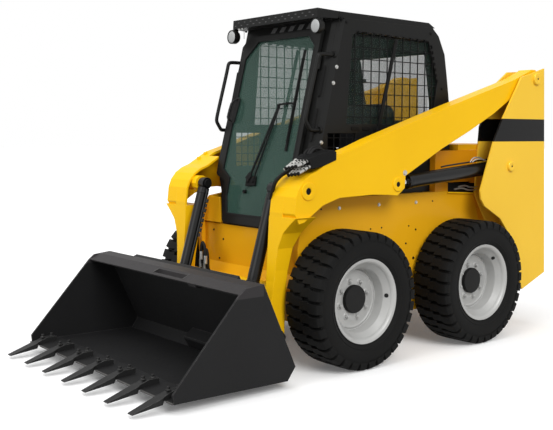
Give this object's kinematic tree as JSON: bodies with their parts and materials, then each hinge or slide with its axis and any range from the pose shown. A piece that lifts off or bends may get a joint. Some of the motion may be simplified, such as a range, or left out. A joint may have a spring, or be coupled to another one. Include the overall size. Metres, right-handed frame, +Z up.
{
  "type": "skid steer loader",
  "caption": "Compact wheeled skid steer loader with a closed cab, side lift arms, hydraulic cylinders and a toothed dirt bucket that lifts and tilts.",
  "frame": {"origin": "on the floor, under the centre of the machine's bounding box", "axes": "+X forward to the bucket, +Y to the machine's left, +Z up"},
  "size_m": [3.21, 1.54, 1.974],
  "materials": {
    "body_yellow": "gloss",
    "cab_black": "satin",
    "tyre": "matte",
    "rim_silver": "satin",
    "tinted_glass": "gloss",
    "lamp_lens": "gloss",
    "seat_vinyl": "matte",
    "control_plastic": "matte",
    "cast_iron": "matte",
    "barrel_black": "gloss",
    "rod_chrome": "polished",
    "bucket_charcoal": "satin",
    "hose_rubber": "matte"
  },
  "bodies": {
    "chassis": {"axle_tubes": "cast_iron", "cab_front_frame": "cab_black", "cab_glass": "tinted_glass", "cab_rear": "cab_black", "cab_roof": "cab_black", "cab_side_left": "cab_black", "cab_side_right": "cab_black", "cab_visor": "cab_black", "engine_block": "cast_iron", "engine_housing": "body_yellow", "grab_handles": "cab_black", "main_frame": "body_yellow", "operator_controls": "control_plastic", "rear_beam": "cab_black", "seat": "seat_vinyl", "side_panel_left": "body_yellow", "side_panel_right": "body_yellow", "tail_lamps": "lamp_lens", "tower_left": "body_yellow", "tower_right": "body_yellow", "window_screens": "cab_black", "work_lamps": "lamp_lens"},
    "lift_arm": {"arm_cross_tube": "body_yellow", "arm_hoses": "hose_rubber", "arm_left": "body_yellow", "arm_right": "body_yellow", "hose_couplers": "rod_chrome"},
    "bucket": {"bucket_shell": "bucket_charcoal", "bucket_teeth": "bucket_charcoal", "quick_attach": "bucket_charcoal"},
    "cab_door": {"door_frame": "cab_black", "door_glass": "tinted_glass", "wiper": "cab_black"},
    "rear_door": {"rear_door": "cab_black"},
    "engine_hood": {"engine_hood": "body_yellow"},
    "wheel_front_left": {"tyre_front_left": "tyre", "rim_front_left": "rim_silver"},
    "wheel_front_right": {"tyre_front_right": "tyre", "rim_front_right": "rim_silver"},
    "wheel_rear_left": {"tyre_rear_left": "tyre", "rim_rear_left": "rim_silver"},
    "wheel_rear_right": {"tyre_rear_right": "tyre", "rim_rear_right": "rim_silver"},
    "lift_barrel_left": {"lift_barrel_left": "barrel_black"},
    "lift_rod_left": {"lift_rod_left": "rod_chrome"},
    "lift_barrel_right": {"lift_barrel_right": "barrel_black"},
    "lift_rod_right": {"lift_rod_right": "rod_chrome"},
    "tilt_barrel_left": {"tilt_barrel_left": "barrel_black"},
    "tilt_rod_left": {"tilt_rod_left": "rod_chrome"},
    "tilt_barrel_right": {"tilt_barrel_right": "barrel_black"},
    "tilt_rod_right": {"tilt_rod_right": "rod_chrome"}
  },
  "joints": [
    {"name": "wheel_front_left_spin", "type": "hinge", "parent": "chassis", "child": "wheel_front_left", "pos_m": [0.1865, 0.632, 0.378], "axis": [0, 1, 0], "continuous": true},
    {"name": "wheel_front_right_spin", "type": "hinge", "parent": "chassis", "child": "wheel_front_right", "pos_m": [0.1865, -0.632, 0.378], "axis": [0, 1, 0], "continuous": true},
    {"name": "wheel_rear_left_spin", "type": "hinge", "parent": "chassis", "child": "wheel_rear_left", "pos_m": [-0.8165, 0.632, 0.378], "axis": [0, 1, 0], "continuous": true},
    {"name": "wheel_rear_right_spin", "type": "hinge", "parent": "chassis", "child": "wheel_rear_right", "pos_m": [-0.8165, -0.632, 0.378], "axis": [0, 1, 0], "continuous": true},
    {"name": "arm_lift", "type": "hinge", "parent": "chassis", "child": "lift_arm", "pos_m": [-1.455, 0, 1.64], "axis": [0, -1, 0], "range_deg": [0, 66]},
    {"name": "bucket_tilt", "type": "hinge", "parent": "lift_arm", "child": "bucket", "pos_m": [0.595, 0, 0.185], "axis": [0, 1, 0], "range_deg": [-26, 104]},
    {"name": "lift_barrel_left_swing", "type": "hinge", "parent": "chassis", "child": "lift_barrel_left", "pos_m": [-1.2, 0.566, 1.076], "axis": [0, -1, 0], "range_deg": [-0.5, 64.91]},
    {"name": "lift_rod_left_slide", "type": "slide", "parent": "lift_barrel_left", "child": "lift_rod_left", "axis": [0.9967, 0, -0.0813], "range_m": [-0.005, 0.6782]},
    {"name": "tilt_barrel_left_swing", "type": "hinge", "parent": "lift_arm", "child": "tilt_barrel_left", "pos_m": [0.497, 0.335, 0.979], "axis": [0, 1, 0], "range_deg": [-0.5, 1.5]},
    {"name": "tilt_rod_left_slide", "type": "slide", "parent": "tilt_barrel_left", "child": "tilt_rod_left", "axis": [0.2811, 0, -0.9597], "range_m": [-0.0644, 0.2484]},
    {"name": "lift_barrel_right_swing", "type": "hinge", "parent": "chassis", "child": "lift_barrel_right", "pos_m": [-1.2, -0.566, 1.076], "axis": [0, -1, 0], "range_deg": [-0.5, 64.91]},
    {"name": "lift_rod_right_slide", "type": "slide", "parent": "lift_barrel_right", "child": "lift_rod_right", "axis": [0.9967, 0, -0.0813], "range_m": [-0.005, 0.6782]},
    {"name": "tilt_barrel_right_swing", "type": "hinge", "parent": "lift_arm", "child": "tilt_barrel_right", "pos_m": [0.497, -0.335, 0.979], "axis": [0, 1, 0], "range_deg": [-0.5, 1.5]},
    {"name": "tilt_rod_right_slide", "type": "slide", "parent": "tilt_barrel_right", "child": "tilt_rod_right", "axis": [0.2811, 0, -0.9597], "range_m": [-0.0644, 0.2484]},
    {"name": "cab_door_swing", "type": "hinge", "parent": "chassis", "child": "cab_door", "pos_m": [0.36304, 0.362, 1], "axis": [-0.2352, 0, 0.9719], "range_deg": [0, 45]},
    {"name": "rear_door_swing", "type": "hinge", "parent": "chassis", "child": "rear_door", "pos_m": [-1.551, -0.4707, 0.8], "axis": [0, 0, 1], "range_deg": [0, 95]},
    {"name": "engine_hood_lift", "type": "hinge", "parent": "chassis", "child": "engine_hood", "pos_m": [-0.877, 0, 1.1873], "axis": [0, 1, 0], "range_deg": [0, 60]}
  ],
  "couplings": [
    {"joint": "lift_barrel_left_swing", "follows": "arm_lift", "ratio": 0.97586},
    {"joint": "lift_rod_left_slide", "follows": "arm_lift", "m_per_rad": 0.58445},
    {"joint": "tilt_barrel_left_swing", "follows": "bucket_tilt", "ratio": 0.01},
    {"joint": "tilt_rod_left_slide", "follows": "bucket_tilt", "m_per_rad": 0.13522},
    {"joint": "lift_barrel_right_swing", "follows": "arm_lift", "ratio": 0.97586},
    {"joint": "lift_rod_right_slide", "follows": "arm_lift", "m_per_rad": 0.58445},
    {"joint": "tilt_barrel_right_swing", "follows": "bucket_tilt", "ratio": 0.01},
    {"joint": "tilt_rod_right_slide", "follows": "bucket_tilt", "m_per_rad": 0.13522}
  ]
}
